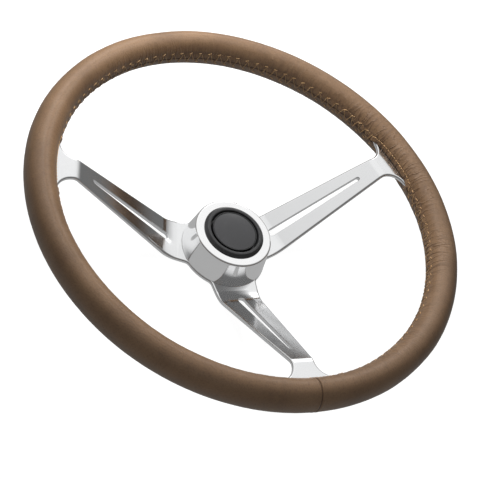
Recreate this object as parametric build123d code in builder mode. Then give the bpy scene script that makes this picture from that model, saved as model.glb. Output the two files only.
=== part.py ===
from build123d import *
from math import pi, sqrt
import os

os.makedirs("parts", exist_ok=True)

# Rim, leather over a moulded core
rim_diameter = 400.0
rim_width = 27.0
rim_depth = 32.0
leather_thickness = 1.3
glue_line = 0.3
inner_seam_width = 2.4
inner_seam_depth = 0.7
butt_seam_angle = -90.2
butt_seam_arc = 0.2
butt_seam_depth = 0.6

# Spider, one plate bent to a dish
plate_thickness = 3.0
dish_depth = 63.5
inner_bend = 52.0
outer_bend = 154.0
inner_bend_radius = 28.0
outer_bend_radius = 9.0
bottom_spoke_angle = -90.0
side_spoke_rise = 16.6
spoke_width_inner = 40.7
spoke_width_outer = 21.4
flare_fillet = 15.0
flare_land = 1.0
flare_stand_out = 0.2
ring_width = 14.0
edge_round = 1.8
slot_round = 0.5

# Slot along each spoke
slot_inner_end = 53.3
slot_outer_end = 137.5
slot_inner_width = 6.8
slot_outer_width = 3.4

# Hub disc of the spider and its mounting holes
hub_margin = 0.4
hub_fillet = 6.0
centre_bore_radius = 14.0
bolt_circle = 44.45
bolt_count = 3
bolt_hole_radius = 3.3
bolt_start_angle = 90.0

# Conical hub cover
cover_base_radius = 39.6
cover_taper = 3.9
cover_height = 26.6
cover_wall = 8.1
cover_flange = 8.6
cover_top_round = 2.0
cover_base_round = 0.8

# Screws that hold the cover from behind
screw_inset = 4.4
screw_count = 3
screw_start_angle = 30.0
screw_radius = 2.0
screw_head_radius = 3.8
screw_length = 14.0
screw_hole_clearance = 0.2
screw_thread_clearance = 0.05
screw_sink = 0.1
screw_hole_spare = 1.5
screw_key_width = 2.5
screw_key_depth = 1.4

# Horn button housing
bore_radius = 26.6
housing_clearance = 0.2
housing_overlap = 1.15
housing_rise = 3.0
housing_edge = 0.8
housing_round = 1.2
housing_slope = 2.45
housing_lip = 6.1
housing_wall = 2.8
housing_shoulder = 1.2
housing_depth = 15.6
snap_height = 0.5
snap_length = 2.3
snap_clearance = 0.1
slit_width = 1.5
slit_count = 4
slit_depth = 8.0

# Cap and disc
cap_groove = 1.5
cap_drop = 0.3
cap_lip_width = 1.1
cap_wall = 1.6
cap_recess_depth = 1.3
cap_top_thickness = 1.5
cap_flange_clearance = 0.4
cap_flange_thickness = 1.7
cap_lip_round = 0.4
cap_boss_radius = 3.0
cap_boss_length = 3.5
disc_clearance = 0.2
disc_edge = 1.0
disc_dome = 0.9
horn_travel = 2.5

# Base plate, contacts and spring
base_thickness = 2.0
base_margin = 1.0
base_groove_depth = 0.7
base_clearance = 0.1
base_edge_clearance = 0.2
brass_thickness = 0.8
washer_radius = 14.0
washer_clearance = 0.2
contact_radius = 11.2
contact_foot = 2.8
contact_rim = 2.3
seat_radius = 6.0
seat_head = 0.6
seat_shank_radius = 2.0
seat_hole_clearance = 0.1
spring_radius = 4.6
spring_wire_radius = 0.45
spring_turns = 4.5
blade_width = 6.3
blade_length = 8.0
blade_slot_clearance = 0.15
horn_blade_reach = 17.8
horn_leg_clearance = 0.3
feed_blade_reach = 9.0

# Heights along the axis, from the back of the hub disc
rim_front_z = plate_thickness + dish_depth
rim_back_z = rim_front_z - plate_thickness
rim_mid_z = rim_front_z - plate_thickness / 2
cover_top_z = plate_thickness + cover_height
housing_top_z = cover_top_z + housing_rise
shoulder_z = housing_top_z - housing_lip
housing_bottom_z = cover_top_z - housing_depth
base_bottom_z = housing_bottom_z + base_margin + base_clearance
base_top_z = base_bottom_z + base_thickness
cap_top_z = housing_top_z - cap_drop
recess_z = cap_top_z - cap_recess_depth
cap_under_z = recess_z - cap_top_thickness
washer_under_z = cap_under_z - brass_thickness
contact_top_z = washer_under_z - horn_travel
seat_top_z = base_top_z + seat_head
horn_leg_z = base_top_z + brass_thickness
snap_top_z = cover_top_z - cover_flange - snap_clearance
hub_back = Plane(origin=(0, 0, 0), x_dir=(1, 0, 0), z_dir=(0, 0, -1))

# Radii that follow from the sizes above
tube_radius = (rim_diameter - rim_width) / 2
rim_inner_radius = tube_radius - rim_width / 2
ring_inner_radius = tube_radius - ring_width / 2
ring_outer_radius = tube_radius + ring_width / 2
core_inset = leather_thickness + glue_line
flare_radius = rim_inner_radius - flare_stand_out
spoke_angles = (bottom_spoke_angle, side_spoke_rise, 180.0 - side_spoke_rise)
spoke_taper = (spoke_width_inner - spoke_width_outer) / 2 / (outer_bend - inner_bend)
hub_radius = cover_base_radius + hub_margin
cover_top_radius = cover_base_radius - cover_taper
cover_cavity_radius = cover_base_radius - cover_wall
screw_circle_radius = cover_base_radius - screw_inset
sleeve_radius = bore_radius - housing_clearance
housing_flange_radius = bore_radius + housing_overlap
housing_crown_radius = housing_flange_radius - housing_slope
housing_cavity_radius = sleeve_radius - housing_wall
housing_mouth_radius = housing_cavity_radius - housing_shoulder
cap_radius = housing_mouth_radius - cap_groove
cap_recess_radius = cap_radius - cap_lip_width
disc_radius = cap_recess_radius - disc_clearance
cap_flange_radius = housing_cavity_radius - cap_flange_clearance


# Arc that joins a spoke's straight edge to a circle about the axis: start, middle and end
def edge_fillet(circle_radius, fillet_radius, outside):
    along = Vector(1, -spoke_taper).normalized()
    across = Vector(spoke_taper, 1).normalized()
    reach = circle_radius + fillet_radius if outside else circle_radius - fillet_radius
    foot = Vector(inner_bend, spoke_width_inner / 2) + across * fillet_radius
    middle = foot.dot(along)
    run = sqrt(middle * middle - foot.dot(foot) + reach * reach) - middle
    centre = foot + along * run
    on_edge = centre - across * fillet_radius
    on_circle = centre * (circle_radius / reach)
    bow = (on_edge - centre) + (on_circle - centre)
    return on_edge, centre + bow.normalized() * fillet_radius, on_circle


# Plan of one spoke along +X: hub fillet, tapered edge, flare into the rim and slot
hub_on_edge, hub_mid, hub_on_circle = edge_fillet(hub_radius, hub_fillet, True)
flare_on_edge, flare_mid, flare_on_circle = edge_fillet(flare_radius, flare_fillet, False)
flare_end = flare_on_circle.rotate(Axis.Z, flare_land / flare_radius * 180 / pi)
flare_root = Vector(sqrt(tube_radius**2 - flare_end.Y**2), flare_end.Y)

with BuildSketch() as slot:
    with Locations((slot_inner_end + slot_inner_width / 2, 0)):
        Circle(slot_inner_width / 2)
    with Locations((slot_outer_end - slot_outer_width / 2, 0)):
        Circle(slot_outer_width / 2)
    make_hull()

with BuildSketch() as spoke_plan:
    with BuildLine():
        ThreePointArc(hub_on_circle, hub_mid, hub_on_edge)
        Line(hub_on_edge, flare_on_edge)
        ThreePointArc(flare_on_edge, flare_mid, flare_on_circle)
        RadiusArc(flare_on_circle, flare_end, -flare_radius)
        Line(flare_end, flare_root)
        mirror(about=Plane.XZ)
        Line(hub_on_circle, (hub_on_circle.X, -hub_on_circle.Y))
        Line(flare_root, (flare_root.X, -flare_root.Y))
    make_face()
    add(slot.sketch, mode=Mode.SUBTRACT)

# Spoke: the bent strip seen from the side, trimmed to the plan
with BuildPart() as spoke:
    with BuildSketch(Plane.XZ):
        with BuildLine():
            front = FilletPolyline(
                (0, plate_thickness),
                (inner_bend, plate_thickness),
                (outer_bend, rim_front_z),
                (tube_radius, rim_front_z),
                radius=[inner_bend_radius, outer_bend_radius + plate_thickness],
            )
            offset(front, amount=plate_thickness, side=Side.RIGHT)
        make_face()
    extrude(amount=flare_root.Y + rim_width, both=True)
    add(spoke_plan.sketch)
    extrude(amount=rim_front_z + plate_thickness, mode=Mode.INTERSECT)

# Spider: three spokes on the hub disc, and the ring that runs inside the rim
with BuildPart() as spoke_spider:
    Cylinder(hub_radius, plate_thickness, align=(Align.CENTER, Align.CENTER, Align.MIN))
    for angle in spoke_angles:
        add(spoke.part, rotation=(0, 0, angle))
    with BuildSketch(Plane.XY.offset(rim_back_z)):
        Circle(ring_outer_radius)
        Circle(ring_inner_radius, mode=Mode.SUBTRACT)
    extrude(amount=plate_thickness)
    Hole(centre_bore_radius)
    with PolarLocations(bolt_circle / 2, bolt_count, start_angle=bolt_start_angle):
        Hole(bolt_hole_radius)
    with Locations(hub_back):
        with PolarLocations(screw_circle_radius, screw_count, start_angle=screw_start_angle):
            CounterSinkHole(
                screw_radius + screw_hole_clearance,
                screw_head_radius + screw_hole_clearance,
                counter_sink_angle=90,
            )
    for place, radius in ((-2, slot_round), (-1, edge_round)):
        slopes = spoke_spider.faces().filter_by(GeomType.PLANE)
        slopes = slopes.filter_by(lambda face: 0.1 < face.normal_at().Z < 0.99)
        long_edges = slopes.edges().filter_by(lambda edge: abs(edge.tangent_at(0.5).Z) > 0.1)
        fillet(long_edges.group_by(SortBy.LENGTH)[place], radius=radius)
spoke_spider.part.label = "spoke_spider"
export_step(spoke_spider.part, "parts/spoke_spider.step")

# Slots through core and leather for the flares, with the ring's channel in the core
with BuildSketch() as flare_windows:
    for angle in spoke_angles:
        with Locations(Rot(0, 0, angle)):
            with Locations((tube_radius, 0)):
                Rectangle(2 * rim_width, 2 * (flare_end.Y + glue_line))
    Circle(tube_radius, mode=Mode.INTERSECT)

# Core moulded round the ring
with BuildPart() as rim_core:
    with BuildSketch(Plane.XZ):
        with Locations((tube_radius, rim_mid_z)):
            Ellipse(rim_width / 2 - core_inset, rim_depth / 2 - core_inset)
    revolve(axis=Axis.Z)
    with BuildSketch(Plane.XY.offset(rim_back_z)):
        Circle(ring_outer_radius + glue_line)
        Circle(ring_inner_radius - glue_line, mode=Mode.SUBTRACT)
        add(flare_windows.sketch)
    extrude(amount=plate_thickness, mode=Mode.SUBTRACT)
rim_core.part.label = "rim_core"
export_step(rim_core.part, "parts/rim_core.step")

# Leather with the groove of the inner seam and one butt seam round the section
with BuildPart() as leather_cover:
    with BuildSketch(Plane.XZ):
        with Locations((tube_radius, rim_mid_z)):
            Ellipse(rim_width / 2, rim_depth / 2)
            Ellipse(rim_width / 2 - leather_thickness, rim_depth / 2 - leather_thickness, mode=Mode.SUBTRACT)
    revolve(axis=Axis.Z)
    with BuildSketch(Plane.XZ):
        with BuildLine():
            Polyline(
                (rim_inner_radius + inner_seam_depth, rim_mid_z),
                (rim_inner_radius - inner_seam_depth, rim_mid_z + inner_seam_width),
                (rim_inner_radius - inner_seam_depth, rim_mid_z - inner_seam_width),
                close=True,
            )
        make_face()
    revolve(axis=Axis.Z, mode=Mode.SUBTRACT)
    with BuildSketch(Plane.XZ.rotated((0, 0, butt_seam_angle))):
        with Locations((tube_radius, rim_mid_z)):
            Ellipse(rim_width / 2 + butt_seam_depth, rim_depth / 2 + butt_seam_depth)
            Ellipse(rim_width / 2 - butt_seam_depth, rim_depth / 2 - butt_seam_depth, mode=Mode.SUBTRACT)
    revolve(axis=Axis.Z, revolution_arc=butt_seam_arc, mode=Mode.SUBTRACT)
    with BuildSketch(Plane.XY.offset(rim_back_z)):
        add(flare_windows.sketch)
    extrude(amount=plate_thickness, mode=Mode.SUBTRACT)
leather_cover.part.label = "leather_cover"
export_step(leather_cover.part, "parts/leather_cover.step")

# Turned hub cover
with BuildPart() as hub_cover:
    with BuildSketch(Plane.XZ) as cover_section:
        with BuildLine():
            Polyline(
                (cover_cavity_radius, plate_thickness),
                (cover_base_radius, plate_thickness),
                (cover_top_radius, cover_top_z),
                (bore_radius, cover_top_z),
                (bore_radius, cover_top_z - cover_flange),
                (cover_cavity_radius, cover_top_z - cover_flange),
                close=True,
            )
        make_face()
        outer_corners = cover_section.vertices().sort_by(Axis.X)[-2:]
        fillet(outer_corners[0], radius=cover_top_round)
        fillet(cover_section.vertices().sort_by(Axis.X)[-1], radius=cover_base_round)
    revolve(axis=Axis.Z)
    with Locations(hub_back):
        with PolarLocations(screw_circle_radius, screw_count, start_angle=screw_start_angle):
            Hole(screw_radius + screw_thread_clearance, depth=screw_length + screw_hole_spare)
hub_cover.part.label = "hub_cover"
export_step(hub_cover.part, "parts/hub_cover.step")

# One countersunk screw on the axis, head at the back
with BuildPart() as screw:
    with BuildSketch(Plane.XZ):
        with BuildLine():
            Polyline(
                (0, screw_sink),
                (screw_head_radius, screw_sink),
                (screw_radius, screw_sink + screw_head_radius - screw_radius),
                (screw_radius, screw_length),
                (0, screw_length),
                close=True,
            )
        make_face()
    revolve(axis=Axis.Z)
    with BuildSketch(Plane.XY.offset(screw_sink)):
        RegularPolygon(screw_key_width / 2, 6, major_radius=False)
    extrude(amount=screw_key_depth, mode=Mode.SUBTRACT)

# Screws that hold the cover
with BuildPart() as cover_screws:
    with PolarLocations(screw_circle_radius, screw_count, start_angle=-screw_start_angle):
        add(screw.part)
cover_screws.part.label = "cover_screws"
export_step(cover_screws.part, "parts/cover_screws.step")

# Moulded housing of the horn button: visible ring, sleeve and snap bead
with BuildPart() as button_housing:
    with BuildSketch(Plane.XZ) as housing_section:
        with BuildLine():
            Polyline(
                (housing_cavity_radius, housing_bottom_z),
                (sleeve_radius, housing_bottom_z),
                (sleeve_radius, snap_top_z - snap_length),
                (sleeve_radius + snap_height, snap_top_z - snap_length * 0.6),
                (sleeve_radius + snap_height, snap_top_z - snap_length * 0.3),
                (sleeve_radius, snap_top_z),
                (sleeve_radius, cover_top_z),
                (housing_flange_radius, cover_top_z),
                (housing_flange_radius, cover_top_z + housing_edge),
                (housing_crown_radius, housing_top_z),
                (housing_mouth_radius, housing_top_z),
                (housing_mouth_radius, shoulder_z),
                (housing_cavity_radius, shoulder_z),
                (housing_cavity_radius, base_top_z + base_clearance),
                (housing_cavity_radius + base_groove_depth, base_top_z + base_clearance),
                (housing_cavity_radius + base_groove_depth, base_bottom_z - base_clearance),
                (housing_cavity_radius, base_bottom_z - base_clearance),
                close=True,
            )
        make_face()
        crown = housing_section.vertices().group_by(Axis.Y)[-1]
        fillet(crown, radius=housing_round)
    revolve(axis=Axis.Z)
    with BuildSketch(Plane.XY.offset(housing_bottom_z)):
        with PolarLocations(sleeve_radius, slit_count):
            Rectangle(rim_width, slit_width)
    extrude(amount=slit_depth, mode=Mode.SUBTRACT)
button_housing.part.label = "button_housing"
export_step(button_housing.part, "parts/button_housing.step")

# Cap that is pressed, with a lip round the recess for the disc and a flange that holds it in
with BuildPart() as button_cap:
    with BuildSketch(Plane.XZ) as cap_section:
        with BuildLine():
            Polyline(
                (0, cap_under_z - cap_boss_length),
                (cap_boss_radius, cap_under_z - cap_boss_length),
                (cap_boss_radius, cap_under_z),
                (cap_radius - cap_wall, cap_under_z),
                (cap_radius - cap_wall, shoulder_z - cap_flange_thickness),
                (cap_flange_radius, shoulder_z - cap_flange_thickness),
                (cap_flange_radius, shoulder_z),
                (cap_radius, shoulder_z),
                (cap_radius, cap_top_z),
                (cap_recess_radius, cap_top_z),
                (cap_recess_radius, recess_z),
                (0, recess_z),
                close=True,
            )
        make_face()
        fillet(cap_section.vertices().group_by(Axis.Y)[-1], radius=cap_lip_round)
    revolve(axis=Axis.Z)
button_cap.part.label = "button_cap"
export_step(button_cap.part, "parts/button_cap.step")

# Domed disc in the cap
with BuildPart() as cap_disc:
    with BuildSketch(Plane.XZ):
        with BuildLine():
            Polyline((0, recess_z + disc_edge + disc_dome), (0, recess_z), (disc_radius, recess_z))
            Line((disc_radius, recess_z), (disc_radius, recess_z + disc_edge))
            RadiusArc(
                (0, recess_z + disc_edge + disc_dome),
                (disc_radius, recess_z + disc_edge),
                (disc_radius**2 + disc_dome**2) / (2 * disc_dome),
            )
        make_face()
    revolve(axis=Axis.Z)
cap_disc.part.label = "cap_disc"
export_step(cap_disc.part, "parts/cap_disc.step")

# Brass washer under the cap
with BuildPart() as moving_contact:
    with BuildSketch(Plane.XY.offset(washer_under_z)):
        Circle(washer_radius)
        Circle(cap_boss_radius + washer_clearance, mode=Mode.SUBTRACT)
    extrude(amount=brass_thickness)
moving_contact.part.label = "moving_contact"
export_step(moving_contact.part, "parts/moving_contact.step")

# Brass cup on the base plate that the washer meets when the cap is pressed
with BuildPart() as fixed_contact:
    with BuildSketch(Plane.XZ):
        with BuildLine():
            Polyline(
                (contact_radius, base_top_z),
                (contact_radius + contact_foot, base_top_z),
                (contact_radius + contact_foot, base_top_z + brass_thickness),
                (contact_radius + brass_thickness, base_top_z + brass_thickness),
                (contact_radius + brass_thickness, contact_top_z - brass_thickness),
                (contact_radius + contact_rim, contact_top_z - brass_thickness),
                (contact_radius + contact_rim, contact_top_z),
                (contact_radius, contact_top_z),
                close=True,
            )
        make_face()
    revolve(axis=Axis.Z)
fixed_contact.part.label = "fixed_contact"
export_step(fixed_contact.part, "parts/fixed_contact.step")

# Insulating floor, snapped into the groove of the sleeve
with BuildPart() as base_plate:
    with BuildSketch(Plane.XY.offset(base_bottom_z)):
        Circle(housing_cavity_radius + base_groove_depth - base_edge_clearance)
        Circle(seat_shank_radius + seat_hole_clearance, mode=Mode.SUBTRACT)
        with Locations((horn_blade_reach - brass_thickness / 2, 0)):
            Rectangle(
                brass_thickness + 2 * blade_slot_clearance,
                blade_width + 2 * blade_slot_clearance,
                mode=Mode.SUBTRACT,
            )
    extrude(amount=base_thickness)
base_plate.part.label = "base_plate"
export_step(base_plate.part, "parts/base_plate.step")

# Brass rivet that the spring stands on
with BuildPart() as spring_seat:
    with BuildSketch(Plane.XZ):
        with BuildLine():
            Polyline(
                (0, base_bottom_z - brass_thickness),
                (seat_shank_radius, base_bottom_z - brass_thickness),
                (seat_shank_radius, base_top_z),
                (seat_radius, base_top_z),
                (seat_radius, seat_top_z),
                (0, seat_top_z),
                close=True,
            )
        make_face()
    revolve(axis=Axis.Z)
spring_seat.part.label = "spring_seat"
export_step(spring_seat.part, "parts/spring_seat.step")

# Coil spring between the rivet and the washer
spring_rise = washer_under_z - seat_top_z - 2 * spring_wire_radius
with BuildPart() as return_spring:
    with BuildLine(Plane.XY.offset(seat_top_z + spring_wire_radius)):
        coil = Helix(spring_rise / spring_turns, spring_rise, spring_radius)
    with BuildSketch(Plane(origin=coil @ 0, z_dir=coil % 0)):
        Circle(spring_wire_radius)
    sweep(path=coil, is_frenet=True)
return_spring.part.label = "return_spring"
export_step(return_spring.part, "parts/return_spring.step")

# Blade terminal of the fixed contact, through the base plate
with BuildPart() as horn_terminal:
    with BuildSketch(Plane.XZ):
        with BuildLine():
            Polyline(
                (horn_blade_reach, base_bottom_z - blade_length),
                (horn_blade_reach, horn_leg_z + brass_thickness),
                (contact_radius + brass_thickness + horn_leg_clearance, horn_leg_z + brass_thickness),
                (contact_radius + brass_thickness + horn_leg_clearance, horn_leg_z),
                (horn_blade_reach - brass_thickness, horn_leg_z),
                (horn_blade_reach - brass_thickness, base_bottom_z - blade_length),
                close=True,
            )
        make_face()
    extrude(amount=blade_width / 2, both=True)
horn_terminal.part.label = "horn_terminal"
export_step(horn_terminal.part, "parts/horn_terminal.step")

# Blade terminal held by the rivet, under the base plate
with BuildPart() as feed_terminal:
    with BuildSketch(Plane.XZ):
        with BuildLine():
            Polyline(
                (-feed_blade_reach, base_bottom_z - blade_length),
                (-feed_blade_reach, base_bottom_z),
                (blade_width / 2, base_bottom_z),
                (blade_width / 2, base_bottom_z - brass_thickness),
                (brass_thickness - feed_blade_reach, base_bottom_z - brass_thickness),
                (brass_thickness - feed_blade_reach, base_bottom_z - blade_length),
                close=True,
            )
        make_face()
    extrude(amount=blade_width / 2, both=True)
    with Locations((0, 0, base_bottom_z)):
        Hole(seat_shank_radius + seat_hole_clearance)
feed_terminal.part.label = "feed_terminal"
export_step(feed_terminal.part, "parts/feed_terminal.step")
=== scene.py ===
import bpy
import numpy as np
from mathutils import Matrix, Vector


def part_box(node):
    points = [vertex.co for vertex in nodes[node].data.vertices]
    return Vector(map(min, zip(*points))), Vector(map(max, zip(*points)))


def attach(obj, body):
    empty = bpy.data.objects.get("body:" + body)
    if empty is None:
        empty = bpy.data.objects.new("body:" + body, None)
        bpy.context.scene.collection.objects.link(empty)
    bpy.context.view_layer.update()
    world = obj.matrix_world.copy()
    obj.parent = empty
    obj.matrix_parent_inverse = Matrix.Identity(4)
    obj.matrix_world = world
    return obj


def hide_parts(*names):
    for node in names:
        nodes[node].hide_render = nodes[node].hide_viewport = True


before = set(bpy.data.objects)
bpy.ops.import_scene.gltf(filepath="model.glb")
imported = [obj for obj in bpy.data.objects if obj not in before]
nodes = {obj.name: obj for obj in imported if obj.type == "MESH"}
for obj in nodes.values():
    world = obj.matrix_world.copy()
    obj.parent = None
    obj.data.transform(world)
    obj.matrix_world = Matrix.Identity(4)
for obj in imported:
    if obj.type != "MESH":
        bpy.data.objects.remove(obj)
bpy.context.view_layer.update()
print("frame loaded with", len(nodes), "nodes")

mm = 0.001
textureUnit = 10.0           # millimetres in one unit of the leather's texture place


# mesh helpers

def meshObject(name, points, faces, uv=None):
    # points (n, 3) in millimetres, faces a list of index arrays, uv one pair per face corner
    mesh = bpy.data.meshes.new(name)
    mesh.from_pydata((points * mm).tolist(), [], [f for block in faces for f in block.tolist()])
    mesh.polygons.foreach_set("use_smooth", np.ones(len(mesh.polygons), bool))
    if uv is not None:
        layer = mesh.uv_layers.new(name="length")
        layer.data.foreach_set("uv", uv.astype(np.float32).ravel())
    mesh.update()
    piece = bpy.data.objects.new(name, mesh)
    bpy.context.scene.collection.objects.link(piece)
    return piece


def gridFaces(rows, columns):
    # quads of a grid that closes both ways, as indices and as row and column numbers of each corner
    r, c = np.meshgrid(np.arange(rows), np.arange(columns), indexing="ij")
    rowNumber = np.stack([r, r, r + 1, r + 1], -1).reshape(-1, 4)
    columnNumber = np.stack([c, c + 1, c + 1, c], -1).reshape(-1, 4)
    return (rowNumber % rows) * columns + columnNumber % columns, rowNumber, columnNumber


def threadTubes(name, paths, ups, thread):
    # a round profile carried along each path: centre + radius * (cos(turn) * side + sin(turn) * up)
    count, steps = paths.shape[:2]
    sides = thread["sides"]
    along = np.gradient(paths, axis=1)
    along /= np.linalg.norm(along, axis=2, keepdims=True)
    side = np.cross(along, ups)
    side /= np.linalg.norm(side, axis=2, keepdims=True)
    up = np.cross(side, along)
    turn = np.arange(sides) * 2 * np.pi / sides
    size = np.full(steps, thread["radius"])
    size[[0, -1]] *= thread["endSize"]
    ring = np.cos(turn)[:, None] * side[:, :, None] + np.sin(turn)[:, None] * up[:, :, None]
    points = paths[:, :, None] + size[None, :, None, None] * ring
    tube, step, turnNumber = np.meshgrid(
        np.arange(count), np.arange(steps - 1), np.arange(sides), indexing="ij")
    start = tube * steps * sides
    nextTurn = (turnNumber + 1) % sides
    quads = np.stack([
        start + step * sides + turnNumber,
        start + (step + 1) * sides + turnNumber,
        start + (step + 1) * sides + nextTurn,
        start + step * sides + nextTurn,
    ], -1).reshape(-1, 4)
    heads = np.arange(count)[:, None] * steps * sides + np.arange(sides)[None, :]
    tails = heads[:, ::-1] + (steps - 1) * sides
    pace = np.linalg.norm(np.diff(paths, axis=1), axis=2)
    length = np.concatenate([np.zeros((count, 1)), np.cumsum(pace, 1)], 1)
    begin, end = length[tube, step], length[tube, step + 1]
    uQuad = np.stack([begin, end, end, begin], -1)
    vQuad = np.stack([turnNumber, turnNumber, turnNumber + 1, turnNumber + 1], -1) / sides
    uv = np.concatenate([np.stack([uQuad, vQuad], -1).reshape(-1, 2), np.zeros((2 * count * sides, 2))])
    return meshObject(name, points.reshape(-1, 3), [quads, heads, tails], uv)


def smoothStep(low, high, value):
    t = np.clip((value - low) / (high - low), 0, 1)
    return t * t * (3 - 2 * t)


def hump(offset, width):
    # a bell: 1 at no offset, falling as the exponential of the offset squared
    return np.exp(-(offset / width) ** 2)


def latticeNoise(u, v, cellsU, cellsV, seed, shift=0.0):
    # random heights on a lattice, blended smoothly between its corners; u repeats after 1
    table = np.random.default_rng(seed).uniform(-1, 1, (cellsU, cellsV + 2))
    x, y = ((u + shift) % 1.0) * cellsU, np.clip(v, 0, 1) * cellsV
    i, j = np.floor(x).astype(int), np.floor(y).astype(int)
    fx, fy = smoothStep(0, 1, x - i), smoothStep(0, 1, y - j)
    i, k = i % cellsU, (i + 1) % cellsU
    near = table[i, j] * (1 - fx) + table[k, j] * fx
    far = table[i, j + 1] * (1 - fx) + table[k, j + 1] * fx
    return near * (1 - fy) + far * fy


# leather rim and its threads

rim = {
    "sectionHalfWidth": 13.5,
    "spokeAngles": (-90.0, 16.6, 163.4),
    "buttSeamAngle": -90.2,
    "openAngle": 6.0,        # either side of a spoke, up to here the leather lies open round the plate
    "closedAngle": 10.4,     # and from here its two edges meet
    "hemRound": 0.6,
    "hemDepth": 0.9,
    "hemBends": (30, 60, 90),
    "edgeAtSeam": 0.8,       # from the middle of the seam to the start of the hem
    "edgeAtSpoke": 2.25,
    "rowAtSeam": 5.6,        # from the middle of the seam to the sewn row
    "rowAtSpoke": 6.5,
    "rowDrawn": 1.0,         # how far the row is drawn in beside a spoke, and at what angle from it
    "rowDrawnAngle": 13.0,
    "rowDrawnSpread": 4.5,
    "rowWander": 0.35,
    "rowDip": 0.3,
    "rowDipWidth": 0.8,
    "bulge": 0.45,           # puckers between the turns of the lacing
    "bulgeWidth": 4.0,
    "bulgeMean": 0.45,
    "gatherWidth": 16.0,     # how far wrinkles reach from the seam, and how much further on the right
    "gatherWider": 4.0,
    "gatherMean": 0.75,      # how strong they are, and how much stronger on the right
    "gatherMore": 0.25,
    "gatherTurn": 10.0,
    "patchLeast": 0.45,
    "patchFrom": -0.4,
    "patchTo": 0.5,
    "besideSpoke": 0.6,      # more wrinkles at this angle from a spoke
    "besideAngle": 11.0,
    "besideSpread": 7.0,
    "wrinkle": 0.28,
    "wrinkleSwell": 0.5,
    "broadSwell": 0.5,
    "wrinkleFold": 0.8,
    "wrinkleFoldWidth": 0.25,
    "wrinkleLift": 0.3,
    "ripple": 0.05,
    "slack": 0.2,
    "tipLump": 1.4,          # the gather where the two edges meet
    "tipInside": 0.9,
    "tipLength": 3.6,
    "tipWidth": 3.8,
    "buttRidge": 0.2,
    "buttRidgeAt": 1.7,
    "buttRidgeWidth": 0.9,
    "buttGroove": 0.9,
    "buttGrooveWidth": 0.6,
    "creaseShadeFrom": 0.15,      # painted shade in a fold deepens from this height down to the next
    "creaseShadeFull": -0.55,
    "columns": 1720,
    "rows": 48,
    "rowCrowding": 0.5,
    "seamBand": 4.0,         # finer columns this far either side of the butt seam
    "seamColumns": 33,
}

# each noise on the leather: cells round the wheel, cells across the tube, seed, shift
lattices = {
    "row": (40, 1, 2), "patches": (26, 1, 9),
    "swell": (420, 9, 3), "broad": (240, 8, 4, 0.31), "fold": (300, 7, 8, 0.17),
    "ripple": (300, 22, 5), "slack": (34, 5, 6),
}

leatherLow, leatherHigh = (np.array(corner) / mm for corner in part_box("leather_cover"))
halfWidth = rim["sectionHalfWidth"]
halfDepth = (leatherHigh[2] - leatherLow[2]) / 2
midHeight = (leatherHigh[2] + leatherLow[2]) / 2
tubeRadius = leatherHigh[0] - halfWidth
tubeLength = 2 * np.pi * tubeRadius
seamStart = np.radians(rim["buttSeamAngle"])

# arc length along the oval section, from its innermost point to its outermost
tableSteps = 2001
turnTable = np.linspace(0, np.pi, tableSteps)
slopeTable = np.hypot(halfWidth * np.sin(turnTable), halfDepth * np.cos(turnTable))
arcTable = np.concatenate([[0], np.cumsum((slopeTable[1:] + slopeTable[:-1]) / 2 * np.diff(turnTable))])
halfGirth = arcTable[-1]


def spokeGap(along):
    # degrees round the wheel to the nearest spoke's middle line
    angle = rim["buttSeamAngle"] + np.degrees(along / tubeRadius)
    gaps = [np.abs((angle - spoke + 180) % 360 - 180) for spoke in rim["spokeAngles"]]
    return np.min(gaps, axis=0)


def laced(along):
    # 0 where the leather lies open round a plate, 1 where it is laced shut
    return smoothStep(rim["openAngle"], rim["closedAngle"], spokeGap(along))


def edgeArc(along):
    # how far the turned edge stands off the seam's middle
    return rim["edgeAtSpoke"] + (rim["edgeAtSeam"] - rim["edgeAtSpoke"]) * laced(along)


def rowArc(along):
    # the sewn row: wider at a spoke, drawn in at the ends of the lacing, and wandering a little
    u = along / tubeLength
    row = rim["rowAtSpoke"] + (rim["rowAtSeam"] - rim["rowAtSpoke"]) * laced(along)
    drawn = hump(spokeGap(along) - rim["rowDrawnAngle"], rim["rowDrawnSpread"])
    return row - rim["rowDrawn"] * drawn + rim["rowWander"] * latticeNoise(u, 0 * u, *lattices["row"])


def gathered(along, arc):
    # how much the lacing bunches the leather: most at the seam, in patches, more by the spokes and on the right
    u = along / tubeLength
    right = np.cos(np.radians(rim["buttSeamAngle"] + rim["gatherTurn"]) + along / tubeRadius)
    least = rim["patchLeast"]
    noise = latticeNoise(u, 0 * u, *lattices["patches"])
    patches = least + (1 - least) * smoothStep(rim["patchFrom"], rim["patchTo"], noise)
    beside = rim["besideSpoke"] * hump(spokeGap(along) - rim["besideAngle"], rim["besideSpread"])
    fade = hump(arc, rim["gatherWidth"] + rim["gatherWider"] * right)
    return (rim["gatherMean"] + rim["gatherMore"] * right) * fade * np.minimum(1, patches + beside)


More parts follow.
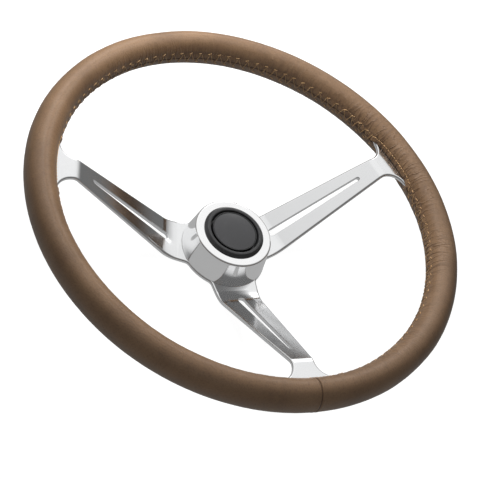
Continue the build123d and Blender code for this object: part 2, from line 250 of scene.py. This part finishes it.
def relief(along, arc):
    # height over the plain oval: puckers at the lacing, the sewn row's dip, wrinkles, slack and the butt seam
    reach = np.abs(arc)
    u, v = along / tubeLength, (arc / halfGirth + 1) / 2
    mean = rim["bulgeMean"]
    pull = mean + (1 - mean) * np.cos(2 * np.pi * along / lacing["period"])
    height = rim["bulge"] * laced(along) * hump(reach, rim["bulgeWidth"]) * pull
    height -= rim["rowDip"] * hump(reach - rowArc(along), rim["rowDipWidth"])
    # wrinkles: narrow creases where a stretched noise passes through zero, between soft swells
    swell = latticeNoise(u, v, *lattices["swell"]) + rim["broadSwell"] * latticeNoise(u, v, *lattices["broad"])
    fold = hump(latticeNoise(u, v, *lattices["fold"]), rim["wrinkleFoldWidth"])
    wrinkles = rim["wrinkleSwell"] * swell - rim["wrinkleFold"] * fold + rim["wrinkleLift"]
    height += rim["wrinkle"] * gathered(along, arc) * wrinkles
    for name in ("ripple", "slack"):
        height += rim[name] * latticeNoise(u, v, *lattices[name])
    # a small gather where the edges meet, over the end of the plate
    tip = np.radians(spokeGap(along) - rim["closedAngle"] + rim["tipInside"]) * tubeRadius
    height += rim["tipLump"] * hump(tip, rim["tipLength"]) * hump(reach, rim["tipWidth"])
    # the butt seam: a groove between two low ridges
    butt = (along + tubeLength / 2) % tubeLength - tubeLength / 2
    height += rim["buttRidge"] * hump(np.abs(butt) - rim["buttRidgeAt"], rim["buttRidgeWidth"])
    height -= rim["buttGroove"] * hump(butt, rim["buttGrooveWidth"])
    return height


def leatherPoint(along, arc, lift=0.0):
    # oval section carried round the wheel: radius = tube - width * cos(turn), height = depth * sin(turn),
    # then moved out along the normal; onward points over the surface the way arc grows
    turn = np.sign(arc) * np.interp(np.abs(arc), arcTable, turnTable)
    angle = seamStart + along / tubeRadius
    normalR, normalZ = -np.cos(turn) / halfWidth, np.sin(turn) / halfDepth
    size = np.hypot(normalR, normalZ)
    normalR, normalZ = normalR / size, normalZ / size
    rise = lift + relief(along, arc)
    radius = tubeRadius - halfWidth * np.cos(turn) + normalR * rise
    height = midHeight + halfDepth * np.sin(turn) + normalZ * rise
    point = np.stack([radius * np.cos(angle), radius * np.sin(angle), height], -1)
    normal = np.stack([normalR * np.cos(angle), normalR * np.sin(angle), normalZ], -1)
    onward = np.stack([normalZ * np.cos(angle), normalZ * np.sin(angle), -normalR], -1)
    return point, normal, onward


def makeLeather():
    band = rim["seamBand"]
    nearSeam = np.linspace(-band, band, rim["seamColumns"])
    along = np.concatenate([nearSeam, np.linspace(band, tubeLength - band, rim["columns"])[1:-1]])
    share = np.linspace(0, 1, rim["rows"])
    share = share - rim["rowCrowding"] * np.sin(2 * np.pi * share) / (2 * np.pi)   # rows crowd towards the seam
    edge = edgeArc(along)
    arc = edge[None] + (2 * halfGirth - 2 * edge)[None] * share[:, None]
    arc = np.where(arc > halfGirth, arc - 2 * halfGirth, arc)
    alongGrid = np.broadcast_to(along, arc.shape)
    skin, normal, onward = leatherPoint(alongGrid, arc)
    # turned edges: a quarter round of hemRound towards the seam, then straight in by hemDepth
    bend = np.radians(rim["hemBends"])[:, None, None]
    size = rim["hemRound"]
    hems = []
    for index, towards in ((0, -1), (-1, 1)):
        start, up, across = skin[index], normal[index], onward[index] * towards
        roll = start + across * size * np.sin(bend) - up * size * (1 - np.cos(bend))
        inside = start + across * size - up * (size + rim["hemDepth"])
        hems.append(np.concatenate([roll, inside[None]]))
    grid = np.concatenate([hems[0][::-1], skin, hems[1]])
    hemRows = len(hems[0])
    arcs = np.concatenate([np.repeat(arc[:1], hemRows, 0), arc, np.repeat(arc[-1:], hemRows, 0)])
    rows, columns = grid.shape[:2]
    faces, rowNumber, columnNumber = gridFaces(rows, columns)
    alongCorner = np.append(along, along[0] + tubeLength)[columnNumber]
    arcTrue = np.where(arcs < 0, arcs + 2 * halfGirth, arcs)
    arcCorner = arcTrue[rowNumber % rows, columnNumber % columns]
    uv = np.stack([alongCorner, arcCorner], -1).reshape(-1, 2) / textureUnit
    piece = meshObject("rim_leather", grid.reshape(-1, 3), [faces], uv)
    # how deep each point lies in a fold, which sets the painted shade in the creases, and how bunched the leather
    # is there
    # the turned hems get the full painted shade of the seam
    turned = np.ones((hemRows, columns))
    foldShade = smoothStep(rim["creaseShadeFrom"], rim["creaseShadeFull"], relief(alongGrid, arc))
    marks = {
        "paintedCreaseShade": np.concatenate([turned, foldShade, turned]),
        "gathered": gathered(np.broadcast_to(along, arcs.shape), arcs),
    }
    for name, values in marks.items():
        layer = piece.data.attributes.new(name, "FLOAT", "POINT")
        layer.data.foreach_set("value", values.astype(np.float32).ravel())
    return piece


stitching = {
    "pitch": 3.37,
    "halfLength": 1.3,
    "slant": 0.6,
    "archLift": 0.3,
    "archDrop": 0.7,
    "drawnIn": 0.55,
    "proudEvery": 3,
    "proudLonger": 0.4,
    "unevenPlace": 0.3,
    "unevenLength": 0.1,
    "unevenSlant": 0.4,
    "seed": 21,
    "radius": 0.37,
    "endSize": 0.35,
    "sides": 8,
    "steps": 9,
}


def makeStitches():
    # one short arch per stitch: lift = archLift - archDrop * t^4 over t from -1 to 1, on a row either side of
    # the seam; where the lacing pulls, one stitch in three stands up, longer and slanting, the rest are drawn in
    every = stitching["proudEvery"]
    count = int(tubeLength / stitching["pitch"] / every) * every
    uneven = np.random.default_rng(stitching["seed"]).uniform(-1, 1, (3, count, 1))
    middle = (np.arange(count)[:, None] + 0.5) * tubeLength / count
    pulled = laced(middle)
    proud = pulled * (np.arange(count)[:, None] % every == 0)
    t = np.linspace(-1, 1, stitching["steps"])[None]
    longer = 1 + stitching["proudLonger"] * proud + stitching["unevenLength"] * uneven[1]
    along = middle + stitching["unevenPlace"] * pulled * uneven[0] + stitching["halfLength"] * longer * t
    row = rowArc(along) - proud * (stitching["slant"] + stitching["unevenSlant"] * uneven[2]) * t
    lift = stitching["archLift"] - stitching["archDrop"] * t ** 4 - stitching["drawnIn"] * (pulled - proud)
    front, back = (leatherPoint(along, side * row, lift) for side in (1, -1))
    paths, ups = (np.concatenate([front[k], back[k]]) for k in (0, 1))
    return threadTubes("row_stitches", paths, ups, stitching)


lacing = {
    "period": 10.1,
    "shortLeg": 0.36,        # this leg's share of a period; the corners and the rise are shares too
    "corner": 0.04,
    "cornerSwing": 0.97,
    "riseFrom": 0.02,
    "riseTo": 0.1,
    "fallOver": 0.08,
    "lift": 0.45,
    "deepLift": 0.0,
    "tuck": 0.5,             # how far the thread dives at the rows, and how suddenly
    "tuckPower": 8,
    "endInside": 0.3,
    "driftAlong": 0.9,
    "driftAcross": 0.1,
    "driftCells": 160,
    "driftSeed": 12,
    "radius": 0.33,
    "endSize": 0.35,
    "sides": 8,
    "stepsPerPeriod": 25,
}


def makeLacing():
    # zigzag thread between the two rows: a short leg high over the seam, then a long leg that lies deeper
    pieces = []
    spokes = np.sort(np.mod(np.array(rim["spokeAngles"]) - rim["buttSeamAngle"], 360.0))
    limit = rim["closedAngle"] - lacing["endInside"]
    short, corner, wide = lacing["shortLeg"], lacing["corner"], lacing["cornerSwing"]
    legs = [0, corner, short - corner, short, 1 - corner, 1]
    for first, last in zip(spokes, np.append(spokes[1:], spokes[0] + 360)):
        begin, end = (np.radians(v) * tubeRadius for v in (first + limit, last - limit))
        periods = round((end - begin) / lacing["period"])
        steps = periods * lacing["stepsPerPeriod"] + 1
        along = np.linspace(begin, end, steps)
        turn = (periods * np.linspace(0, 1, steps)) % 1.0
        swing = np.interp(turn, legs, [1, wide, -wide, -1, wide, 1])
        rising = smoothStep(lacing["riseFrom"], lacing["riseTo"], turn)
        over = rising * smoothStep(short, short - lacing["fallOver"], turn)
        lift = lacing["deepLift"] + (lacing["lift"] - lacing["deepLift"]) * over
        lift -= lacing["tuck"] * np.abs(swing) ** lacing["tuckPower"]
        seed = lacing["driftSeed"] + len(pieces)
        drift = latticeNoise(along / tubeLength, 0 * along, lacing["driftCells"], 1, seed)
        across = 1 - lacing["driftAcross"] + lacing["driftAcross"] * drift
        path = leatherPoint(along + lacing["driftAlong"] * drift, rowArc(along) * swing * across, lift)
        pieces.append(threadTubes("lacing_%d" % len(pieces), path[0][None], path[1][None], lacing))
    return pieces


leather = makeLeather()
rowStitches = makeStitches()
laces = makeLacing()
print("leather", len(leather.data.polygons), "row stitches", len(rowStitches.data.polygons),
      "lacing", [len(p.data.polygons) for p in laces])

for piece in [leather, rowStitches] + laces:
    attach(piece, "wheel")
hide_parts("leather_cover")


# finishes

def newFinish(name):
    finish = bpy.data.materials.new(name)
    finish.use_nodes = True
    return finish, finish.node_tree.nodes, finish.node_tree.links, finish.node_tree.nodes["Principled BSDF"]


def addNode(tree, kind, values=None, **settings):
    node = tree.new(kind)
    for key, value in settings.items():
        setattr(node, key, value)
    for key, value in (values or {}).items():
        node.inputs[key].default_value = value
    return node


def toneRamp(tree, places, colours):
    ramp = tree.new("ShaderNodeValToRGB")
    bar = ramp.color_ramp
    while len(bar.elements) < len(places):
        bar.elements.new(0.5)
    for element, place, colour in zip(bar.elements, places, colours):
        element.position = place
        element.color = (*colour, 1)
    return ramp


def calculate(tree, links, operation, *terms):
    # a math node whose terms are sockets or plain numbers
    node = addNode(tree, "ShaderNodeMath", operation=operation)
    for index, term in enumerate(terms):
        if isinstance(term, float):
            node.inputs[index].default_value = term
        else:
            links.new(term, node.inputs[index])
    return node.outputs[0]


def addBump(tree, links, shader, height, strength, depth):
    bump = addNode(tree, "ShaderNodeBump", {"Strength": strength, "Distance": depth})
    links.new(height, bump.inputs["Height"])
    links.new(bump.outputs["Normal"], shader.inputs["Normal"])


leatherLook = {
    "dark": (0.205, 0.117, 0.059),
    "mid": (0.236, 0.138, 0.071),
    "light": (0.262, 0.156, 0.083),
    "toneStops": (0.3, 0.5, 0.72),
    "mottleScale": 0.35,     # scales and sizes are in texture units, depths of the bump in metres
    # painted shade: the dark brown mixed in where the leather folds in, at the turned hems and along the wrinkles
    "paintedCreaseShade": (0.075, 0.038, 0.018),
    "foldShadeStrength": 0.75,
    "pore": (0.72, 0.7, 0.68),
    "poreStops": (0.35, 0.75),
    "poreShare": 0.7,
    "grainSize": 0.1,
    "grainDepth": 0.5,
    "fineScale": 22.0,
    "fineDepth": 0.3,
    "wrinklesPerUnit": 2.1,
    "wrinkleStretch": 0.4,
    "wrinkleWidth": 0.075,
    # painted shade: how much the crease colour darkens each wrinkle line
    "wrinkleShadeStrength": 0.8,
    "wrinkleDepth": 3.0,
    "roughness": 0.45,
    "glossier": 0.08,
    "duller": 0.12,
    "specular": 0.75,
    "bumpStrength": 0.6,
    "bumpDepth": 0.00025,
}


def leatherFinish():
    look = leatherLook
    finish, tree, links, shader = newFinish("brown_leather")
    place = addNode(tree, "ShaderNodeUVMap", uv_map="length").outputs["UV"]
    mottle = addNode(tree, "ShaderNodeTexNoise", {"Scale": look["mottleScale"], "Detail": 5.0, "Roughness": 0.6})
    links.new(place, mottle.inputs["Vector"])
    tones = toneRamp(tree, look["toneStops"], (look["dark"], look["mid"], look["light"]))
    links.new(mottle.outputs["Fac"], tones.inputs["Fac"])
    cells = addNode(tree, "ShaderNodeTexVoronoi", {"Scale": 1 / look["grainSize"], "Randomness": 1.0},
                    feature="SMOOTH_F1")
    links.new(place, cells.inputs["Vector"])
    pores = toneRamp(tree, look["poreStops"], ((1, 1, 1), look["pore"]))
    links.new(cells.outputs["Distance"], pores.inputs["Fac"])
    grainTone = addNode(tree, "ShaderNodeMix", {"Factor": look["poreShare"]},
                        data_type="RGBA", blend_type="MULTIPLY")
    links.new(tones.outputs["Color"], grainTone.inputs["A"])
    links.new(pores.outputs["Color"], grainTone.inputs["B"])
    # thin creases where a noise stretched across the tube passes its middle value; the bump sinks them and painted
    # shade darkens them
    stretched = addNode(tree, "ShaderNodeMapping", {"Scale": (look["wrinklesPerUnit"], look["wrinkleStretch"], 1)})
    links.new(place, stretched.inputs["Vector"])
    swell = addNode(tree, "ShaderNodeTexNoise",
                    {"Scale": 1.0, "Detail": 0.6, "Roughness": 0.5, "Distortion": 0.5})
    links.new(stretched.outputs["Vector"], swell.inputs["Vector"])
    middle = calculate(tree, links, "SUBTRACT", swell.outputs["Fac"], 0.5)
    thin = addNode(tree, "ShaderNodeMapRange", {"From Max": look["wrinkleWidth"], "To Min": 1.0, "To Max": 0.0},
                   interpolation_type="SMOOTHSTEP")
    links.new(calculate(tree, links, "ABSOLUTE", middle), thin.inputs["Value"])
    bunch = addNode(tree, "ShaderNodeAttribute", attribute_name="gathered")
    wrinkles = calculate(tree, links, "MULTIPLY", thin.outputs["Result"], bunch.outputs["Fac"])
    wrinkleShadeShare = calculate(tree, links, "MULTIPLY", wrinkles, look["wrinkleShadeStrength"])
    # painted shade: the crease colour mixed in by how deep a fold is, or along a wrinkle
    fold = addNode(tree, "ShaderNodeAttribute", attribute_name="paintedCreaseShade")
    foldShadeShare = calculate(tree, links, "MULTIPLY", fold.outputs["Fac"], look["foldShadeStrength"])
    shadedInFolds = addNode(tree, "ShaderNodeMix", {"B": (*look["paintedCreaseShade"], 1)}, data_type="RGBA")
    links.new(calculate(tree, links, "MAXIMUM", foldShadeShare, wrinkleShadeShare), shadedInFolds.inputs["Factor"])
    links.new(grainTone.outputs["Result"], shadedInFolds.inputs["A"])
    links.new(shadedInFolds.outputs["Result"], shader.inputs["Base Color"])
    fine = addNode(tree, "ShaderNodeTexNoise", {"Scale": look["fineScale"], "Detail": 4.0, "Roughness": 0.65})
    links.new(place, fine.inputs["Vector"])
    polish = addNode(tree, "ShaderNodeMapRange", {"To Min": look["roughness"] - look["glossier"],
                                                   "To Max": look["roughness"] + look["duller"]})
    links.new(fine.outputs["Fac"], polish.inputs["Value"])
    links.new(polish.outputs["Result"], shader.inputs["Roughness"])
    pits = calculate(tree, links, "MULTIPLY", cells.outputs["Distance"], -look["grainDepth"])
    grain = calculate(tree, links, "MULTIPLY_ADD", fine.outputs["Fac"], look["fineDepth"], pits)
    height = calculate(tree, links, "MULTIPLY_ADD", wrinkles, -look["wrinkleDepth"], grain)
    addBump(tree, links, shader, height, look["bumpStrength"], look["bumpDepth"])
    shader.inputs["Specular IOR Level"].default_value = look["specular"]
    return finish


threadLook = {
    "light": (0.84, 0.54, 0.28),
    "dark": (0.62, 0.36, 0.165),
    "toneStops": (0.15, 0.7),
    # painted shade: the lacing's copy of the thread colour is dimmed to this share
    "lacePaintedShade": 0.64,
    "twist": 1.6,
    "strandTurn": 0.6,
    "roughness": 0.6,
    "bumpStrength": 0.5,
    "bumpDepth": 0.0002,
}


def threadFinish(name, paintedShade):
    # twisted strands: a wave that runs slantwise round the thread
    finish, tree, links, shader = newFinish(name)
    place = addNode(tree, "ShaderNodeUVMap", uv_map="length")
    turned = addNode(tree, "ShaderNodeMapping", {"Rotation": (0, 0, threadLook["strandTurn"])})
    links.new(place.outputs["UV"], turned.inputs["Vector"])
    strands = addNode(tree, "ShaderNodeTexWave", {"Scale": threadLook["twist"], "Distortion": 0.6, "Detail": 1.0})
    links.new(turned.outputs["Vector"], strands.inputs["Vector"])
    # both tones are dimmed by the painted shade factor, which is 1 for the row stitches
    dark, light = (tuple(c * paintedShade for c in threadLook[k]) for k in ("dark", "light"))
    tones = toneRamp(tree, threadLook["toneStops"], (dark, light))
    links.new(strands.outputs["Fac"], tones.inputs["Fac"])
    links.new(tones.outputs["Color"], shader.inputs["Base Color"])
    addBump(tree, links, shader, strands.outputs["Fac"], threadLook["bumpStrength"], threadLook["bumpDepth"])
    shader.inputs["Roughness"].default_value = threadLook["roughness"]
    return finish


cloudRange = {"From Min": 0.3, "From Max": 0.7}
metalLook = {
    "cloud": {"Scale": 45.0, "Detail": 6.0, "Roughness": 0.7},
    "toneStops": (0.3, 0.7),
    "darker": 0.965,
    "bumpDepth": 0.00005,
}
plasticLook = {
    "cloud": {"Scale": 60.0, "Detail": 5.0, "Roughness": 0.65},
    "toneStops": (0.3, 0.75),
    "lighter": 1.35,
    "rubbed": 0.002,
    "coatRoughness": 0.04,
    "bumpDepth": 0.00006,
}


def cloudyFinish(name, look, tones, rough, spread):
    # gloss and tone that both follow one cloudy noise
    finish, tree, links, shader = newFinish(name)
    place = addNode(tree, "ShaderNodeTexCoord").outputs["Object"]
    cloud = addNode(tree, "ShaderNodeTexNoise", look["cloud"])
    links.new(place, cloud.inputs["Vector"])
    gloss = addNode(tree, "ShaderNodeMapRange", {**cloudRange, "To Min": rough - spread, "To Max": rough + spread})
    links.new(cloud.outputs["Fac"], gloss.inputs["Value"])
    links.new(gloss.outputs["Result"], shader.inputs["Roughness"])
    tint = toneRamp(tree, look["toneStops"], tones)
    links.new(cloud.outputs["Fac"], tint.inputs["Fac"])
    links.new(tint.outputs["Color"], shader.inputs["Base Color"])
    return finish, tree, links, shader, place


def metalFinish(name, colour, rough, spread, scratch, grain):
    # polished or plated metal: fine uneven gloss, and hairlines from the polishing wheel
    tones = (tuple(c * metalLook["darker"] for c in colour), colour)
    finish, tree, links, shader, place = cloudyFinish(name, metalLook, tones, rough, spread)
    stretched = addNode(tree, "ShaderNodeMapping", {"Scale": grain})
    links.new(place, stretched.inputs["Vector"])
    lines = addNode(tree, "ShaderNodeTexNoise", {"Scale": 1.0, "Detail": 3.0})
    links.new(stretched.outputs["Vector"], lines.inputs["Vector"])
    addBump(tree, links, shader, lines.outputs["Fac"], scratch, metalLook["bumpDepth"])
    shader.inputs["Metallic"].default_value = 1.0
    return finish


def plasticFinish(name, colour, rough, spread, grain, depth, coat=0.0):
    # moulded plastic: a faint spark-eroded texture, uneven gloss and a slightly rubbed tone
    rubbed = tuple(min(1, c * plasticLook["lighter"] + plasticLook["rubbed"]) for c in colour)
    finish, tree, links, shader, place = cloudyFinish(name, plasticLook, (colour, rubbed), rough, spread)
    sparks = addNode(tree, "ShaderNodeTexNoise", {"Scale": grain, "Detail": 2.0})
    links.new(place, sparks.inputs["Vector"])
    addBump(tree, links, shader, sparks.outputs["Fac"], depth, plasticLook["bumpDepth"])
    shader.inputs["Coat Weight"].default_value = coat
    shader.inputs["Coat Roughness"].default_value = plasticLook["coatRoughness"]
    return finish


def dress(node, finish):
    slots = nodes[node].material_slots
    if len(slots) == 0:
        nodes[node].data.materials.append(finish)
    for slot in slots:
        slot.material = finish


leather.data.materials.append(leatherFinish())
rowStitches.data.materials.append(threadFinish("tan_thread", 1.0))
# the lacing gets a dimmed copy of the thread, painted shade where it lies down in the seam
shadedLaceThread = threadFinish("lacing_thread", threadLook["lacePaintedShade"])
for piece in laces:
    piece.data.materials.append(shadedLaceThread)

# colours, gloss and its spread; scratch is the depth of the hairlines and grain their fineness along x, y and z
metals = {
    "polished_spokes": {"colour": (0.85, 0.855, 0.86), "rough": 0.13, "spread": 0.025,
                        "scratch": 0.02, "grain": (160, 160, 160)},
    "turned_cover": {"colour": (0.95, 0.95, 0.952), "rough": 0.11, "spread": 0.02,
                     "scratch": 0.015, "grain": (40, 40, 1600)},
    "stamped_brass": {"colour": (0.80, 0.58, 0.25), "rough": 0.3, "spread": 0.08,
                      "scratch": 0.1, "grain": (900, 120, 120)},
    "plated_steel": {"colour": (0.62, 0.62, 0.60), "rough": 0.35, "spread": 0.08,
                     "scratch": 0.1, "grain": (500, 500, 500)},
}
# for plastics grain is the fineness of the texture and depth its strength
plastics = {
    "satin_black": {"colour": (0.024, 0.024, 0.025), "rough": 0.36, "spread": 0.05, "grain": 2600, "depth": 0.12},
    "gloss_black": {"colour": (0.010, 0.010, 0.011), "rough": 0.2, "spread": 0.04, "grain": 1800, "depth": 0.05},
    "piano_black": {"colour": (0.012, 0.012, 0.014), "rough": 0.24, "spread": 0.03, "grain": 900, "depth": 0.02,
                    "coat": 0.6},
    "foam_skin": {"colour": (0.07, 0.065, 0.06), "rough": 0.6, "spread": 0.08, "grain": 1200, "depth": 0.3},
    "brown_base": {"colour": (0.07, 0.042, 0.026), "rough": 0.45, "spread": 0.08, "grain": 1500, "depth": 0.15},
}
finishes = {name: metalFinish(name, **look) for name, look in metals.items()}
finishes.update({name: plasticFinish(name, **look) for name, look in plastics.items()})

for node, name in {
    "spoke_spider": "polished_spokes", "hub_cover": "turned_cover", "cover_screws": "plated_steel",
    "return_spring": "plated_steel", "button_housing": "satin_black", "button_cap": "gloss_black",
    "cap_disc": "piano_black", "rim_core": "foam_skin", "base_plate": "brown_base",
    "moving_contact": "stamped_brass", "fixed_contact": "stamped_brass", "spring_seat": "stamped_brass",
    "horn_terminal": "stamped_brass", "feed_terminal": "stamped_brass",
}.items():
    dress(node, finishes[name])
dress("leather_cover", leather.data.materials[0])
print("materials set on", len(nodes), "nodes")


# floor, light and camera

studio = {
    "floorSide": 900.0,
    "floorHeight": -0.4,
    "floorTone": 0.30,
    "floorGlow": 0.92,
    "floorMirrored": 0.42,
    "floorFadeFrom": 0.22,   # metres from the middle between which the mirrored floor falls to the wall's tone
    "floorFadeTo": 0.6,
    "skyFill": 0.16,
    "wallTone": 0.17,
    "panelFrom": (0.05, 0.60, 0.80),
    "panelEdge": 0.42,
    "panelCore": 0.95,
    "lampFrom": (0.42, 0.80, 0.43),
    "lampEdge": 0.955,
    "lampCore": 0.99,
    "lampGlow": 1.5,
    "keyPower": 3.65,
    "keySize": 0.4,
    "keyPlace": (-0.02, 0.36, 0.43),
    "fillPower": 2.6,
    "fillSize": 1.0,
    "fillPlace": (-0.5, -0.9, 1.2),
    "lightUp": (0.0, 1.0, 0.2),
    "cameraPlace": (-0.632816, -0.707994, 0.985105),   # from the middle of the rim
    "cameraRight": (0.888927, -0.283002, 0.360165),
    "cameraUp": (0.026377, 0.816624, 0.576567),
    "cameraBack": (-0.457289, -0.503026, 0.733384),
    "lens": 118.06,
    "sensor": 36.0,
    "viewEnd": 100.0,
}


def makeFloor():
    side, height = studio["floorSide"], studio["floorHeight"]
    corners = np.array([[x * side, y * side, height] for x, y in ((-1, -1), (1, -1), (1, 1), (-1, 1))])
    floor = meshObject("pale_floor", corners, [np.array([[0, 1, 2, 3]])])
    finish, tree, links, shader = newFinish("pale_paper")
    tree.remove(shader)
    paths = addNode(tree, "ShaderNodeLightPath")
    # seen straight the paper glows white under its shadows; in reflections it is a grey that falls off outwards
    place = addNode(tree, "ShaderNodeTexCoord")
    far = addNode(tree, "ShaderNodeVectorMath", operation="LENGTH")
    links.new(place.outputs["Object"], far.inputs[0])
    fall = addNode(tree, "ShaderNodeMapRange", {
        "From Min": studio["floorFadeFrom"], "From Max": studio["floorFadeTo"],
        "To Min": studio["floorMirrored"], "To Max": studio["wallTone"]})
    links.new(far.outputs["Value"], fall.inputs["Value"])
    mirrored = addNode(tree, "ShaderNodeEmission")
    links.new(fall.outputs["Result"], mirrored.inputs["Strength"])
    glow = calculate(tree, links, "MULTIPLY", paths.outputs["Is Camera Ray"], studio["floorGlow"])
    white = addNode(tree, "ShaderNodeEmission")
    links.new(glow, white.inputs["Strength"])
    paper = addNode(tree, "ShaderNodeBsdfDiffuse", {"Color": (*[studio["floorTone"]] * 3, 1)})
    both = addNode(tree, "ShaderNodeAddShader")
    links.new(white.outputs[0], both.inputs[0])
    links.new(paper.outputs[0], both.inputs[1])
    seen = addNode(tree, "ShaderNodeMixShader")
    links.new(paths.outputs["Is Glossy Ray"], seen.inputs[0])
    links.new(both.outputs[0], seen.inputs[1])
    links.new(mirrored.outputs[0], seen.inputs[2])
    links.new(seen.outputs[0], tree["Material Output"].inputs["Surface"])
    floor.data.materials.append(finish)


def makeSky():
    # white to the camera, a soft fill on the wheel, and in reflections a room with a broad soft panel and a lamp
    world = bpy.data.worlds.new("studio")
    bpy.context.scene.world = world
    world.use_nodes = True
    tree, links = world.node_tree.nodes, world.node_tree.links
    paths = addNode(tree, "ShaderNodeLightPath")
    place = addNode(tree, "ShaderNodeTexCoord")
    glows = []
    for name, low, high in (("panel", studio["wallTone"], 1.0), ("lamp", 0.0, studio["lampGlow"])):
        facing = addNode(tree, "ShaderNodeVectorMath", {1: studio[name + "From"]}, operation="DOT_PRODUCT")
        links.new(place.outputs["Generated"], facing.inputs[0])
        glow = addNode(tree, "ShaderNodeMapRange", {
            "From Min": studio[name + "Edge"], "From Max": studio[name + "Core"],
            "To Min": low, "To Max": high}, interpolation_type="SMOOTHSTEP")
        links.new(facing.outputs["Value"], glow.inputs["Value"])
        glows.append(glow.outputs["Result"])
    seen = addNode(tree, "ShaderNodeMix", {"A": studio["skyFill"]}, data_type="FLOAT")
    links.new(paths.outputs["Is Glossy Ray"], seen.inputs["Factor"])
    links.new(calculate(tree, links, "ADD", *glows), seen.inputs["B"])
    straight = calculate(tree, links, "MAXIMUM", paths.outputs["Is Camera Ray"],
                         paths.outputs["Is Transmission Ray"])
    level = addNode(tree, "ShaderNodeMix", {"B": 1.0}, data_type="FLOAT")
    links.new(straight, level.inputs["Factor"])
    links.new(seen.outputs["Result"], level.inputs["A"])
    sky = tree["Background"]
    sky.inputs["Color"].default_value = (1, 1, 1, 1)
    links.new(level.outputs["Result"], sky.inputs["Strength"])


def putObject(name, content, right, up, back, place):
    # an object whose x, y and z axes are right, up and back
    holder = bpy.data.objects.new(name, content)
    bpy.context.scene.collection.objects.link(holder)
    holder.matrix_world = Matrix([[right[i], up[i], back[i], place[i]] for i in range(3)] + [[0, 0, 0, 1]])
    return holder


def areaLight(name, place, size, power):
    # aimed at the middle of the rim
    lamp = bpy.data.lights.new(name, "AREA")
    lamp.shape = "SQUARE"
    lamp.size = size
    lamp.energy = power
    back = np.array(place, float) - (0, 0, midHeight * mm)
    back /= np.linalg.norm(back)
    right = np.cross(studio["lightUp"], back)
    right /= np.linalg.norm(right)
    holder = putObject(name, lamp, right, np.cross(back, right), back, place)
    holder.visible_glossy = False
    holder.visible_camera = False


def makeCamera():
    lens = bpy.data.cameras.new("photo_view")
    lens.lens = studio["lens"]
    lens.sensor_width = studio["sensor"]
    lens.clip_end = studio["viewEnd"]
    right, up, back, place = (studio[k] for k in ("cameraRight", "cameraUp", "cameraBack", "cameraPlace"))
    place = np.array(place) + (0, 0, midHeight * mm)
    bpy.context.scene.camera = putObject("photo_view", lens, right, up, back, place)


makeFloor()
makeSky()
for name in ("key", "fill"):
    areaLight(name + "_light", studio[name + "Place"], studio[name + "Size"], studio[name + "Power"])
makeCamera()
bpy.context.scene.view_settings.view_transform = "Standard"
print("studio ready")
